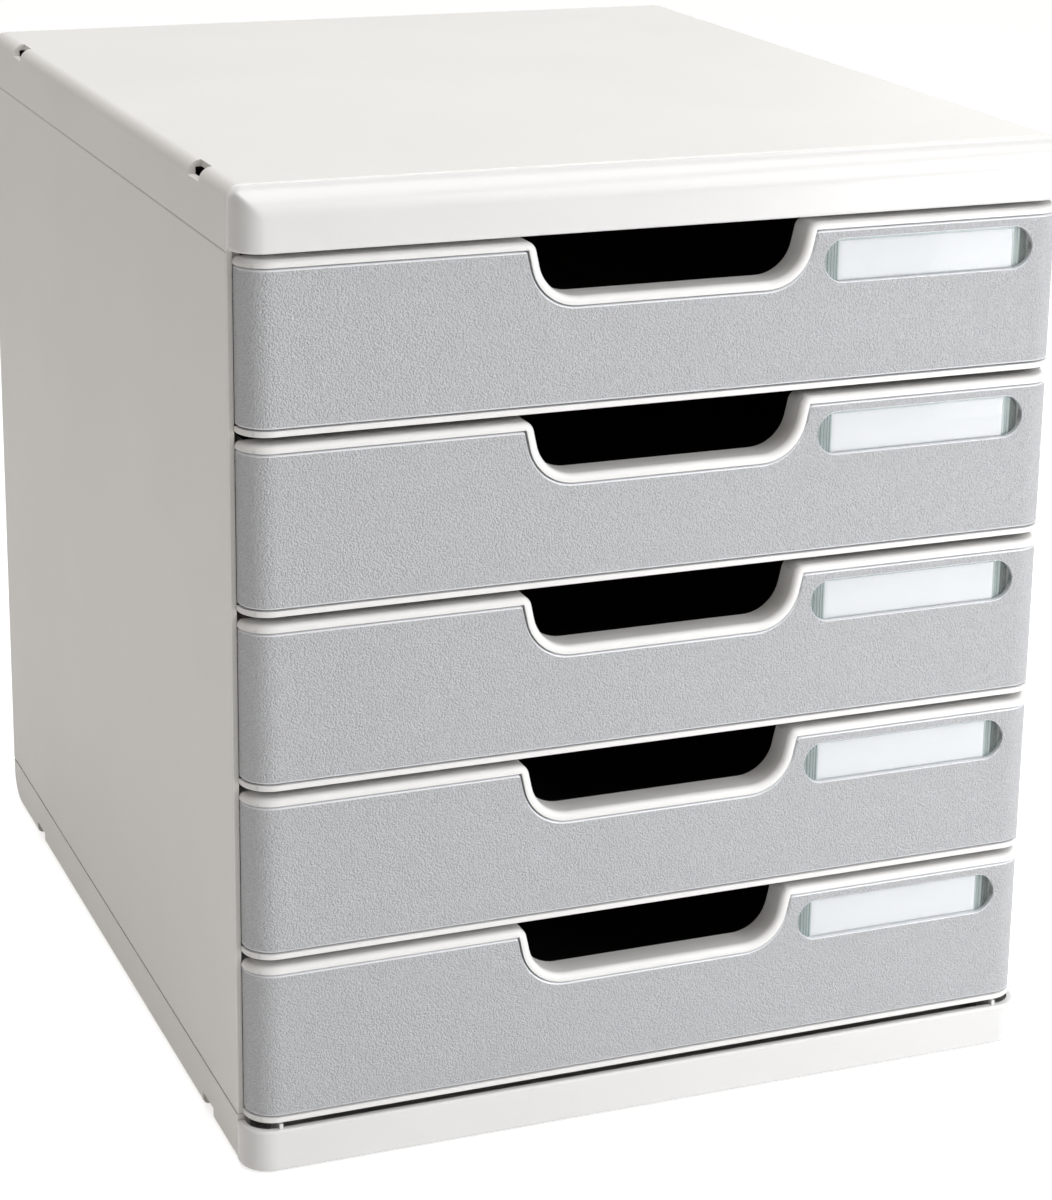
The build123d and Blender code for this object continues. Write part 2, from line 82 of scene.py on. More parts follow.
# Sizes of the unevenness in the materials
FLOW_MOTTLE = 70 * MM
MOULD_PATCH = 24 * MM
POLISH_WAVE = 40 * MM
POLISH_PATCH = 18 * MM
POLISH_SCRATCH = 0.5 * MM
POLISH_DEPTH = 0.003 * MM
FACING_CLOUD = 35 * MM
CLEAR_CLOUD = 6 * MM
CLEAR_STREAK = 1.5 * MM
CLEAR_DEPTH = 0.02 * MM
PAPER_FIBRE = 0.22 * MM
PAPER_CLOUD = 3 * MM
PAPER_DEPTH = 0.012 * MM
RUBBER_SPECK = 0.6 * MM
RUBBER_DEPTH = 0.03 * MM
FLOOR_CLOUD = 400 * MM

# Roughness of the polished bevels beside the seams and of the facings' rims
SEAM_ROUGHNESS = 0.25
RIM_ROUGHNESS = 0.28

# Other values of the materials: light bending of plastic and of the facings, colours of the rubber, and
# for the window and its grip's two sides how solid they look from the front and from their edge, and
# their roughness. The grip's two sides are a lit and a shaded copy of the window's plastic: painted light
# and painted shade on the flanks of its ribs
WHITE = (1.0, 1.0, 1.0)
PLASTIC_IOR = 1.5
FACING_IOR = 1.7
RUBBER_DARK = (0.030, 0.030, 0.031)
RUBBER_PALE = (0.055, 0.054, 0.053)
CLEAR_LOOK = (0.03, 0.16, 0.03)
GRIP_LIT_LOOK = (0.25, 0.3, 0.06)
GRIP_SHADED_LOOK = (0.5, 0.6, 0.06)

# Top rail: gap to the cover, how far the rail reaches in behind the cover's edge before it is cut off,
# how far the tools that round it stand out, the grain of its remeshing and the steps of its roundings
RAIL_SEAM = 0.2 * MM
RAIL_TUCK = 4 * MM
TOOL_REACH = 5 * MM
RAIL_VOXEL = 0.45 * MM
RAIL_STEPS = 28
RIM_STEPS = 16


# Settings that a user would change

class HousingSettings(bpy.types.PropertyGroup):
    """Plastic of the cover, base, side walls, back and rails."""
    colour: bpy.props.FloatVectorProperty(
        name="Plastic", description="Colour of the housing's plastic",
        default=(0.80, 0.79, 0.765), size=3, min=0.0, max=1.0, subtype="COLOR")
    # Painted highlight: pale colour laid on the forward-leaning bevels beside the front seams, where
    # light catches their rounding
    seam_highlight_colour: bpy.props.FloatVectorProperty(
        name="Seam edges", description="Colour of the polished bevels beside the front seams",
        default=(0.94, 0.935, 0.925), size=3, min=0.0, max=1.0, subtype="COLOR")
    rail_colour: bpy.props.FloatVectorProperty(
        name="Rail plastic", description="Colour of the smooth rails",
        default=(0.80, 0.80, 0.80), size=3, min=0.0, max=1.0, subtype="COLOR")
    lip_colour: bpy.props.FloatVectorProperty(
        name="Front plastic", description="Colour of the drawers' lips and bands",
        default=(0.88, 0.878, 0.87), size=3, min=0.0, max=1.0, subtype="COLOR")
    roughness: bpy.props.FloatProperty(
        name="Roughness", description="Roughness of the finely eroded housing plastic",
        default=0.42, min=0.05, max=1.0, subtype="FACTOR")
    rail_roughness: bpy.props.FloatProperty(
        name="Rail roughness", description="Roughness of the smooth rails",
        default=0.24, min=0.05, max=1.0, subtype="FACTOR")
    lip_roughness: bpy.props.FloatProperty(
        name="Front roughness", description="Roughness of the drawers' lips and bands",
        default=0.32, min=0.05, max=1.0, subtype="FACTOR")
    grain: bpy.props.FloatProperty(
        name="Grain size", description="Width of one grain of the eroded surface",
        default=0.55 * MM, min=0.1 * MM, max=5 * MM, precision=5, unit="LENGTH")
    grain_depth: bpy.props.FloatProperty(
        name="Grain depth", description="Depth of the eroded surface",
        default=0.018 * MM, min=0.0, max=1 * MM, precision=6, unit="LENGTH")


class TopRailSettings(bpy.types.PropertyGroup):
    """Smooth rail over the drawers."""
    corner_radius: bpy.props.FloatProperty(
        name="End radius", description="Radius of the rail's ends in plan",
        default=10.0 * MM, min=2 * MM, max=20 * MM, unit="LENGTH")
    brow_radius: bpy.props.FloatProperty(
        name="Brow radius", description="Radius of the upper front edge",
        default=9.5 * MM, min=2 * MM, max=19 * MM, unit="LENGTH")
    rim_radius: bpy.props.FloatProperty(
        name="Rim radius", description="Radius of the upper side edge, the same as the cover's rim",
        default=4.5 * MM, min=1 * MM, max=10 * MM, unit="LENGTH")
    step: bpy.props.FloatProperty(
        name="Step", description="How much lower the rail stands than the cover behind it",
        default=0.35 * MM, min=0.0, max=2 * MM, precision=4, unit="LENGTH")
    softness: bpy.props.IntProperty(
        name="Ridge softness", description="How often the ridges at the ends are smoothed over",
        default=24, min=0, max=60)


class DrawerSettings(bpy.types.PropertyGroup):
    """Facings and trays of the drawers."""
    facia_colour: bpy.props.FloatVectorProperty(
        name="Facing", description="Colour of the grained facings",
        default=(0.425, 0.433, 0.455), size=3, min=0.0, max=1.0, subtype="COLOR")
    facia_roughness: bpy.props.FloatProperty(
        name="Facing roughness", description="Roughness of the facings between their grains",
        default=0.46, min=0.05, max=1.0, subtype="FACTOR")
    pebble: bpy.props.FloatProperty(
        name="Grain size", description="Width of one pebble of the facing's grain",
        default=0.62 * MM, min=0.2 * MM, max=5 * MM, precision=5, unit="LENGTH")
    pebble_height: bpy.props.FloatProperty(
        name="Grain height", description="Height of the facing's grain",
        default=0.27 * MM, min=0.0, max=1 * MM, precision=5, unit="LENGTH")
    # Painted shade: grey-green colour laid on the front's wall behind the facing and the window, where
    # the window's recess lies in shade
    pocket_shade_colour: bpy.props.FloatVectorProperty(
        name="Wall behind", description="Colour of the front's wall behind the facing and the window",
        default=(0.44, 0.51, 0.51), size=3, min=0.0, max=1.0, subtype="COLOR")
    # Painted shade: the trays are coloured near black so that the space behind the fronts reads dark
    tray_shade_colour: bpy.props.FloatVectorProperty(
        name="Tray", description="Colour of the trays",
        default=(0.060, 0.052, 0.050), size=3, min=0.0, max=1.0, subtype="COLOR")
    tray_roughness: bpy.props.FloatProperty(
        name="Tray roughness", description="Roughness of the trays",
        default=0.5, min=0.05, max=1.0, subtype="FACTOR")
    tray_grain: bpy.props.FloatProperty(
        name="Tray grain size", description="Width of one grain of the trays' surface",
        default=0.7 * MM, min=0.1 * MM, max=5 * MM, precision=5, unit="LENGTH")
    tray_grain_depth: bpy.props.FloatProperty(
        name="Tray grain depth", description="Depth of the trays' grain",
        default=0.03 * MM, min=0.0, max=1 * MM, precision=6, unit="LENGTH")
    tray_mottle: bpy.props.FloatProperty(
        name="Tray mottling", description="How much the trays' colour varies from place to place",
        default=0.12, min=0.0, max=1.0, subtype="FACTOR")


class WindowSettings(bpy.types.PropertyGroup):
    """Clear label windows and the cards behind them."""
    tint: bpy.props.FloatVectorProperty(
        name="Tint", description="Tint of the clear plastic",
        default=(0.70, 0.83, 0.80), size=3, min=0.0, max=1.0, subtype="COLOR")
    grip_pitch: bpy.props.FloatProperty(
        name="Grip pitch", description="Distance from one rib of the window's grip to the next",
        default=1.15 * MM, min=0.5 * MM, max=3 * MM, precision=4, unit="LENGTH")
    grip_ribs: bpy.props.IntProperty(
        name="Grip ribs", description="Number of ribs at each end of a window",
        default=5, min=1, max=8)
    grip_depth: bpy.props.FloatProperty(
        name="Grip depth", description="Depth of the grip's grooves",
        default=0.5 * MM, min=0.1 * MM, max=1.2 * MM, precision=4, unit="LENGTH")
    rim: bpy.props.FloatProperty(
        name="Rim", description="Width of the polished rim round a window",
        default=0.3 * MM, min=0.05 * MM, max=0.6 * MM, precision=4, unit="LENGTH")
    paper: bpy.props.FloatVectorProperty(
        name="Paper", description="Colour of the blank cards",
        default=(0.805, 0.82, 0.855), size=3, min=0.0, max=1.0, subtype="COLOR")
    perforation: bpy.props.FloatProperty(
        name="Perforation pitch", description="Distance between the cuts of the card's torn lower edge",
        default=2.6 * MM, min=1 * MM, max=10 * MM, precision=4, unit="LENGTH")
    perforation_width: bpy.props.FloatProperty(
        name="Perforation width", description="Width of those cuts",
        default=0.44 * MM, min=0.1 * MM, max=2 * MM, precision=4, unit="LENGTH")
    paper_edge: bpy.props.FloatProperty(
        name="Paper edge", description="Softening of the card's edges",
        default=0.06 * MM, min=0.01 * MM, max=0.15 * MM, precision=4, unit="LENGTH")
    perforation_depth: bpy.props.FloatProperty(
        name="Perforation depth", description="Depth of those cuts",
        default=0.4 * MM, min=0.1 * MM, max=2 * MM, precision=4, unit="LENGTH")


class StageSettings(bpy.types.PropertyGroup):
    """Floor, light and camera."""
    key_power: bpy.props.FloatProperty(
        name="Key light", description="Power of the large soft light above the front right",
        default=11.4, min=0.0, max=200.0, unit="POWER")
    low_power: bpy.props.FloatProperty(
        name="Low light", description="Power of the small soft light low at the front right",
        default=2.8, min=0.0, max=200.0, unit="POWER")
    top_power: bpy.props.FloatProperty(
        name="Top light", description="Power of the soft light overhead",
        default=15.8, min=0.0, max=200.0, unit="POWER")
    back_power: bpy.props.FloatProperty(
        name="Back light", description="Power of the soft light above the rear right",
        default=3.0, min=0.0, max=200.0, unit="POWER")
    surround: bpy.props.FloatProperty(
        name="Surround", description="Strength of the even light all round",
        default=0.23, min=0.0, max=2.0)
    floor_colour: bpy.props.FloatVectorProperty(
        name="Floor", description="Colour of the floor",
        default=(0.90, 0.90, 0.90), size=3, min=0.0, max=1.0, subtype="COLOR")
    floor_lift: bpy.props.FloatProperty(
        name="Floor lift", description="How much whiter the background shows the floor than its colour",
        default=0.68, min=0.0, max=1.0)


# Small helpers for materials

def new_material(name):
    """Empty node material with its surface shader, ready to be wired."""
    material = bpy.data.materials.new(name)
    material.use_nodes = True
    shader = material.node_tree.nodes["Principled BSDF"]
    return material, material.node_tree, shader


def add_node(tree, kind, **values):
    """Adds a node and sets its plain settings and its sockets' values."""
    node = tree.nodes.new(kind)
    for key, value in values.items():
        if key in node.inputs:
            node.inputs[key].default_value = value
        else:
            setattr(node, key, value)
    return node


def object_place(tree):
    """Socket with the place on the piece, in metres."""
    return add_node(tree, "ShaderNodeTexCoord").outputs["Object"]


def noise(tree, place, size, detail=2.0, roughness=0.5):
    """Noise with features of about one size, in metres."""
    node = add_node(tree, "ShaderNodeTexNoise")
    node.inputs["Scale"].default_value = 1.0 / size
    node.inputs["Detail"].default_value = detail
    node.inputs["Roughness"].default_value = roughness
    tree.links.new(place, node.inputs["Vector"])
    return node.outputs["Fac"]


def between(tree, value, low, high, from_low=0.0, from_high=1.0):
    """Socket that maps one range to another."""
    node = add_node(tree, "ShaderNodeMapRange")
    node.inputs["From Min"].default_value = from_low
    node.inputs["From Max"].default_value = from_high
    node.inputs["To Min"].default_value = low
    node.inputs["To Max"].default_value = high
    tree.links.new(value, node.inputs["Value"])
    return node.outputs["Result"]


def ramp(tree, value, start, end):
    """Socket that goes from 0 to 1 while a value goes from one number to another."""
    return between(tree, value, 0.0, 1.0, start, end)


def wire(tree, value, socket):
    """Links a socket to another one, or gives it a plain number."""
    if isinstance(value, bpy.types.NodeSocket):
        tree.links.new(value, socket)
    else:
        socket.default_value = value


def maths(tree, operation, *values):
    """Socket with the result of an operation on sockets and plain numbers."""
    node = add_node(tree, "ShaderNodeMath", operation=operation)
    for value, socket in zip(values, node.inputs):
        wire(tree, value, socket)
    return node.outputs["Value"]


def eased(tree, factor, start, end):
    """Socket that goes from one value to another with a factor."""
    node = add_node(tree, "ShaderNodeMix")
    tree.links.new(factor, node.inputs["Factor"])
    wire(tree, start, node.inputs["A"])
    wire(tree, end, node.inputs["B"])
    return node.outputs["Result"]


def split(tree, vector):
    """Sockets X, Y and Z with the parts of a vector."""
    node = add_node(tree, "ShaderNodeSeparateXYZ")
    tree.links.new(vector, node.inputs["Vector"])
    return node.outputs


def surface_way(tree):
    """Sockets X, Y and Z with the way that the surface faces."""
    return split(tree, add_node(tree, "ShaderNodeNewGeometry").outputs["Normal"])


def colours_of(sockets):
    """The colour sockets among a node's sockets."""
    return [socket for socket in sockets if socket.type == "RGBA"]


def tinted(tree, factor, colour_a, colour_b):
    """Socket that goes from one colour to another with a factor."""
    node = add_node(tree, "ShaderNodeMix", data_type="RGBA")
    first, second = colours_of(node.inputs)
    first.default_value = (*colour_a, 1.0)
    second.default_value = (*colour_b, 1.0)
    tree.links.new(factor, node.inputs["Factor"])
    return colours_of(node.outputs)[0]


def tinted_over(tree, factor, below, colour, over):
    """Socket that goes from a colour socket to a plain colour with a factor."""
    both = tinted(tree, factor, colour, over)
    tree.links.new(below, colours_of(both.node.inputs)[0])
    return both


def lay_colour_over(tree, shader, factor, colour, over):
    """Lays a plain colour over the surface's own one where a factor is 1."""
    own = shader.inputs["Base Color"].links[0].from_socket
    tree.links.new(tinted_over(tree, factor, own, colour, over), shader.inputs["Base Color"])


def relief(tree, height, depth, strength=1.0, below=None):
    """Socket with the surface's normal, raised by a height of 0 to 1."""
    node = add_node(tree, "ShaderNodeBump")
    node.inputs["Strength"].default_value = strength
    node.inputs["Distance"].default_value = depth
    tree.links.new(height, node.inputs["Height"])
    if below is not None:
        tree.links.new(below, node.inputs["Normal"])
    return node.outputs["Normal"]


def shade_of(colour, factor):
    """Colour made darker or lighter by a factor."""
    return tuple(min(1.0, max(0.0, c * factor)) for c in colour)


# Materials

def moulded_plastic(name, colour, roughness, grain, depth, mottle=0.03):
    """Injection-moulded plastic: faint flow mottling over a fine spark-eroded grain."""
    material, tree, shader = new_material(name)
    place = object_place(tree)
    cloud = noise(tree, place, FLOW_MOTTLE, 1.0)
    speck = noise(tree, place, grain * 2.2, 1.0)
    both = maths(tree, "MULTIPLY_ADD", speck, 0.35, cloud)
    darkest = shade_of(colour, 1.0 - mottle)
    palest = shade_of(colour, 1.0 + mottle * 0.4)
    tree.links.new(tinted(tree, ramp(tree, both, 0.35, 1.0), darkest, palest),
                   shader.inputs["Base Color"])
    patch = noise(tree, place, MOULD_PATCH, 2.0)
    tree.links.new(between(tree, patch, roughness - 0.03, roughness + 0.04), shader.inputs["Roughness"])
    fine = noise(tree, place, grain, 3.0, 0.6)
    tree.links.new(relief(tree, fine, depth), shader.inputs["Normal"])
    shader.inputs["IOR"].default_value = PLASTIC_IOR
    return material


def shell_plastic(name, colour, seam_highlight_colour, roughness, grain, depth):
    """Housing plastic whose narrow bevels beside the front seams are smoother and carry a pale painted
    highlight.
    """
    material = moulded_plastic(name, colour, roughness, grain, depth)
    tree = material.node_tree
    shader = tree.nodes["Principled BSDF"]
    # a bevel leans forward, but less than the shells' flat front faces
    forward = surface_way(tree)["Y"]
    leaning = ramp(tree, forward, -0.4, -0.5)
    not_flat = ramp(tree, forward, -0.97, -0.9)
    bevel = maths(tree, "MULTIPLY", leaning, not_flat)
    # the pale colour on the bevels is a painted highlight; their lower roughness is the surface's own
    lay_colour_over(tree, shader, bevel, colour, seam_highlight_colour)
    plain = shader.inputs["Roughness"].links[0].from_socket
    tree.links.new(eased(tree, bevel, plain, SEAM_ROUGHNESS), shader.inputs["Roughness"])
    return material


def smooth_plastic(name, colour, roughness):
    """Polished moulding: nearly even, with the slight waviness of a polished tool."""
    material, tree, shader = new_material(name)
    place = object_place(tree)
    cloud = noise(tree, place, POLISH_WAVE, 2.0)
    tree.links.new(tinted(tree, ramp(tree, cloud, 0.3, 0.7),
                          shade_of(colour, 0.985), shade_of(colour, 1.01)),
                   shader.inputs["Base Color"])
    patch = noise(tree, place, POLISH_PATCH, 2.0)
    tree.links.new(between(tree, patch, roughness - 0.02, roughness + 0.03), shader.inputs["Roughness"])
    fine = noise(tree, place, POLISH_SCRATCH, 2.0)
    tree.links.new(relief(tree, fine, POLISH_DEPTH), shader.inputs["Normal"])
    shader.inputs["IOR"].default_value = PLASTIC_IOR
    return material


def front_plastic(name, colour, pocket_shade_colour, roughness, wall_face):
    """Smooth plastic of the fronts, with a grey-green painted shade on the wall behind the facing and the
    window.
    """
    material = smooth_plastic(name, colour, roughness)
    tree = material.node_tree
    shader = tree.nodes["Principled BSDF"]
    depth = split(tree, object_place(tree))["Y"]
    behind = ramp(tree, depth, wall_face - 0.3 * MM, wall_face - 0.1 * MM)
    facing_out = ramp(tree, surface_way(tree)["Y"], -0.7, -0.95)
    pocket_shade = maths(tree, "MULTIPLY", behind, facing_out)
    # the grey-green colour on the recessed wall is painted shade
    lay_colour_over(tree, shader, pocket_shade, colour, pocket_shade_colour)
    return material


def grained_facing(name, colour, roughness, pebble, height):
    """Facing with a fine leather grain: pebbles with duller creases, painted shade in the creases and
    painted highlight on the pebbles' tops, and a smooth rim with a paler painted highlight.
    """
    material, tree, shader = new_material(name)
    place = object_place(tree)
    cells = add_node(tree, "ShaderNodeTexVoronoi", feature="F1")
    cells.inputs["Scale"].default_value = 1.0 / pebble
    tree.links.new(place, cells.inputs["Vector"])
    dome = between(tree, cells.outputs["Distance"], 1.0, 0.0, 0.1, 0.85)
    upturned = maths(tree, "ABSOLUTE", surface_way(tree)["Z"])
    rim = ramp(tree, upturned, 0.12, 0.35)
    fine = noise(tree, place, pebble, 1.0, 0.5)
    level = maths(tree, "MULTIPLY_ADD", fine, 1.1, dome)
    # painted shade and highlight on the grain: colour darker in the creases and paler on the pebbles'
    # tops, following the grain's height
    grain_shading_tint = tinted(tree, ramp(tree, level, 0.6, 1.6),
                        shade_of(colour, 0.86), shade_of(colour, 1.08))
    cloud = noise(tree, place, FACING_CLOUD, 3.0)
    cloud_tint = tinted(tree, ramp(tree, cloud, 0.3, 0.7), shade_of(WHITE, 0.985), WHITE)
    clouded = add_node(tree, "ShaderNodeMix", data_type="RGBA", blend_type="MULTIPLY")
    clouded.inputs["Factor"].default_value = 1.0
    for tint, socket in zip((grain_shading_tint, cloud_tint), colours_of(clouded.inputs)):
        tree.links.new(tint, socket)
    grained = colours_of(clouded.outputs)[0]
    # the rim's colour, 1.8 times paler, is a painted highlight; its lower roughness and weaker grain are
    # the surface's own
    tree.links.new(tinted_over(tree, rim, grained, colour, shade_of(colour, 1.8)),
                   shader.inputs["Base Color"])
    dull = between(tree, level, roughness + 0.08, roughness - 0.04, 0.6, 1.6)
    tree.links.new(eased(tree, rim, dull, RIM_ROUGHNESS), shader.inputs["Roughness"])
    bump = relief(tree, level, height)
    tree.links.new(between(tree, rim, 1.0, 0.12), bump.node.inputs["Strength"])
    tree.links.new(bump, shader.inputs["Normal"])
    shader.inputs["IOR"].default_value = FACING_IOR
    shader.inputs["Specular IOR Level"].default_value = 0.9
    return material


def clear_plastic(name, tint, alpha, edge_alpha, roughness):
    """Clear polished plastic, seen through from the front and milkier where it is seen from its edge."""
    material, tree, shader = new_material(name)
    place = object_place(tree)
    cloud = noise(tree, place, CLEAR_CLOUD, 2.0)
    tree.links.new(tinted(tree, cloud, shade_of(tint, 0.97), shade_of(tint, 1.03)),
                   shader.inputs["Base Color"])
    streak = noise(tree, place, CLEAR_STREAK, 2.0)
    tree.links.new(between(tree, streak, roughness, roughness + 0.03), shader.inputs["Roughness"])
    tree.links.new(relief(tree, cloud, CLEAR_DEPTH, 0.5), shader.inputs["Normal"])
    facing = add_node(tree, "ShaderNodeLayerWeight")
    facing.inputs["Blend"].default_value = 0.5
    tree.links.new(between(tree, facing.outputs["Facing"], alpha, edge_alpha, 0.35, 0.9),
                   shader.inputs["Alpha"])
    shader.inputs["Specular IOR Level"].default_value = 0.8
    return material


def paper(name, colour):
    """Uncoated card with fine fibres."""
    material, tree, shader = new_material(name)
    place = object_place(tree)
    squeeze = add_node(tree, "ShaderNodeMapping")
    squeeze.inputs["Scale"].default_value = (0.35, 1.0, 1.0)
    tree.links.new(place, squeeze.inputs["Vector"])
    fibre = noise(tree, squeeze.outputs["Vector"], PAPER_FIBRE, 4.0, 0.65)
    cloud = noise(tree, place, PAPER_CLOUD, 3.0)
    both = maths(tree, "MULTIPLY_ADD", fibre, 0.6, cloud)
    tree.links.new(tinted(tree, ramp(tree, both, 0.5, 1.1),
                          shade_of(colour, 0.975), shade_of(colour, 1.01)),
                   shader.inputs["Base Color"])
    tree.links.new(between(tree, fibre, 0.7, 0.85), shader.inputs["Roughness"])
    tree.links.new(relief(tree, fibre, PAPER_DEPTH), shader.inputs["Normal"])
    return material


def foot_rubber(name):
    """Dull black rubber with a fine matte skin."""
    material, tree, shader = new_material(name)
    place = object_place(tree)
    speck = noise(tree, place, RUBBER_SPECK, 3.0)
    tree.links.new(tinted(tree, speck, RUBBER_DARK, RUBBER_PALE),
                   shader.inputs["Base Color"])
    tree.links.new(between(tree, speck, 0.72, 0.9), shader.inputs["Roughness"])
    tree.links.new(relief(tree, speck, RUBBER_DEPTH), shader.inputs["Normal"])
    return material


def background_rays(tree):
    """Socket that is 1 for rays that show the background: straight, mirrored or let through."""
    path = add_node(tree, "ShaderNodeLightPath")
    value = path.outputs["Is Camera Ray"]
    for ray in ("Is Glossy Ray", "Is Transmission Ray"):
        value = maths(tree, "MAXIMUM", value, path.outputs[ray])
    return value


# Small helpers for pieces and modelling

def give(obj, *materials):
    """Puts materials on a piece in place of those that it has."""
    obj.data.materials.clear()
    for material in materials:
        obj.data.materials.append(material)


def material_named(name, make, *values):
    """Material that several pieces share, made on its first use."""
    found = bpy.data.materials.get(name)
    return found if found is not None else make(name, *values)


def deselect_all():
    """Leaves edit mode and selects nothing."""
    if bpy.context.object is not None and bpy.context.object.mode != "OBJECT":
        bpy.ops.object.mode_set(mode="OBJECT")
    bpy.ops.object.select_all(action="DESELECT")


def name_active(name):
    """Names the active object and its mesh."""
    obj = bpy.context.object
    obj.name = name
    obj.data.name = name
    return obj


def edit(obj, kind):
    """Enters edit mode on one object, with nothing selected, to pick vertices, edges or faces."""
    deselect_all()
    obj.select_set(True)
    bpy.context.view_layer.objects.active = obj
    bpy.ops.object.mode_set(mode="EDIT")
    bpy.ops.mesh.select_mode(type=kind)
    bpy.ops.mesh.select_all(action="DESELECT")


def middle_and_way(mesh, edge):
    """Middle of an edge, and the way from one of its ends to the other."""
    start, end = (mesh.vertices[index].co for index in edge.vertices)
    return (start + end) / 2, end - start


def pick(obj, kind, test):
    """Selects the vertices, edges or faces that pass a test, counts them and stays in edit mode."""
    bpy.ops.object.mode_set(mode="OBJECT")
    mesh = obj.data
    for elements in (mesh.vertices, mesh.edges, mesh.polygons):
        elements.foreach_set("select", [False] * len(elements))
    if kind == "VERT":
        picked = [vertex for vertex in mesh.vertices if test(vertex.co)]
    elif kind == "EDGE":
        picked = [edge for edge in mesh.edges if test(*middle_and_way(mesh, edge))]
    else:
        picked = [face for face in mesh.polygons if test(face.center, face.normal)]
    for element in picked:
        element.select = True
    bpy.ops.object.mode_set(mode="EDIT")
    bpy.ops.mesh.select_mode(type=kind)
    return len(picked)


def finish_mesh(obj, angle=30.0):
    """Leaves edit mode, turns the faces outwards and puts the place into the mesh."""
    edit(obj, "VERT")
    bpy.ops.mesh.select_all(action="SELECT")
    bpy.ops.mesh.remove_doubles(threshold=WELD)
    bpy.ops.mesh.normals_make_consistent(inside=False)
    bpy.ops.object.mode_set(mode="OBJECT")
    bpy.ops.object.transform_apply(location=True, rotation=True, scale=True)
    bpy.ops.object.shade_smooth_by_angle(angle=math.radians(angle))


def apply_modifier(obj, kind, **values):
    """Adds a modifier with its settings and applies it at once."""
    deselect_all()
    obj.select_set(True)
    bpy.context.view_layer.objects.active = obj
    modifier = obj.modifiers.new(kind.lower(), kind)
    for key, value in values.items():
        setattr(modifier, key, value)
    bpy.ops.object.modifier_apply(modifier=modifier.name)


def remove(obj):
    """Deletes a piece and its mesh."""
    mesh = obj.data
    bpy.data.objects.remove(obj)
    bpy.data.meshes.remove(mesh)


def copied(obj, name, up):
    """Copy of a piece with its own mesh, higher by a distance."""
    other = obj.copy()
    other.data = obj.data.copy()
    other.name = name
    other.data.name = name
    other.data.transform(Matrix.Translation((0.0, 0.0, up)))
    bpy.context.scene.collection.objects.link(other)
    return other


def cut(place, way):
    """Cuts the whole mesh in edit mode along a plane, and keeps both sides."""
    bpy.ops.mesh.select_all(action="SELECT")
    bpy.ops.mesh.bisect(plane_co=place, plane_no=way, threshold=CUT_WELD)


def block(name, low, high):
    """Plain block between two corners."""
    deselect_all()
    bpy.ops.mesh.primitive_cube_add(size=1.0, location=(low + high) / 2, scale=high - low)
    obj = name_active(name)
    bpy.ops.object.transform_apply(location=True, rotation=True, scale=True)
    return obj


def rounded_block(name, low, high, edges, radius, segments):
    """Block between two corners with some of its edges rounded."""
    obj = block(name, low, high)
    edit(obj, "EDGE")
    if pick(obj, "EDGE", edges) == 0:
        raise RuntimeError(f"{name} has no edge to round")
    bpy.ops.mesh.bevel(offset=radius, segments=segments, profile=0.5, affect="EDGES")
    bpy.ops.object.mode_set(mode="OBJECT")
    return obj


# Pieces

class DRAWERUNIT_OT_housing(bpy.types.Operator):
    """Finishes the housing's moulded shells, back, lower rail and feet"""
    bl_idname = "drawer_unit.housing"
    bl_label = "Finish Housing"
    bl_options = {"REGISTER", "UNDO"}

    def execute(self, context):
        s = context.scene.drawer_unit_housing
        shell = material_named("housing_shell", shell_plastic, s.colour, s.seam_highlight_colour, s.roughness,
                               s.grain, s.grain_depth)
        rail = material_named("rail_plastic", smooth_plastic, s.rail_colour, s.rail_roughness)
        rubber = material_named("pad_rubber", foot_rubber)
        for node in ("top_cover", "base_tray", "left_side_panel", "right_side_panel", "back_panel"):
            give(frame["nodes"][node], shell)
        give(frame["nodes"]["bottom_front_rail"], rail)
        give(frame["nodes"]["rubber_feet"], rubber)
        return {"FINISHED"}


class DRAWERUNIT_OT_top_rail(bpy.types.Operator):
    """Models the smooth rail over the drawers, with soft ridges where its ends meet its brow"""
    bl_idname = "drawer_unit.top_rail"
    bl_label = "Model Top Rail"
    bl_options = {"REGISTER", "UNDO"}

    def execute(self, context):
        s = context.scene.drawer_unit_top_rail
        h = context.scene.drawer_unit_housing
        low, high = RAIL_LOW.copy(), RAIL_HIGH.copy()
        seam = COVER_LOW.y - RAIL_SEAM
        high.y = seam + RAIL_TUCK
        high.z -= s.step
        across = Vector((TOOL_REACH, 0.0, 0.0))
        back = Vector((0.0, TOOL_REACH, 0.0))
        down = Vector((0.0, 0.0, -TOOL_REACH))

        def runs(way, axis):
            return abs(way[axis]) > 0.9 * way.length

        def at_front(middle):
            return middle.y < low.y + 1 * MM

        def on_top(middle):
            return middle.z > high.z - 1 * MM

        plan = rounded_block("top_rail", low, high,
                             lambda mid, way: runs(way, 2) and at_front(mid),
                             s.corner_radius, RAIL_STEPS)
        brow = rounded_block("brow_tool", low - across + down, high + across + back,
                             lambda mid, way: runs(way, 0) and at_front(mid) and on_top(mid),
                             s.brow_radius, RAIL_STEPS)
        rim = rounded_block("rim_tool", low - back + down, high + back,
                            lambda mid, way: runs(way, 1) and on_top(mid), s.rim_radius, RIM_STEPS)
        for tool in (brow, rim):
            apply_modifier(plan, "BOOLEAN", operation="INTERSECT", solver="EXACT", object=tool)
            remove(tool)
        apply_modifier(plan, "REMESH", mode="VOXEL", voxel_size=RAIL_VOXEL)
        apply_modifier(plan, "SMOOTH", factor=0.5, iterations=s.softness)
        edit(plan, "FACE")
        bpy.ops.mesh.select_all(action="SELECT")
        bpy.ops.mesh.bisect(plane_co=(0, seam, 0), plane_no=(0, 1, 0), use_fill=True, clear_outer=True)
        finish_mesh(plan, 50.0)
        give(plan, material_named("rail_plastic", smooth_plastic, h.rail_colour, h.rail_roughness))
        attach(plan, "housing")
        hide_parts("top_front_rail")
        return {"FINISHED"}


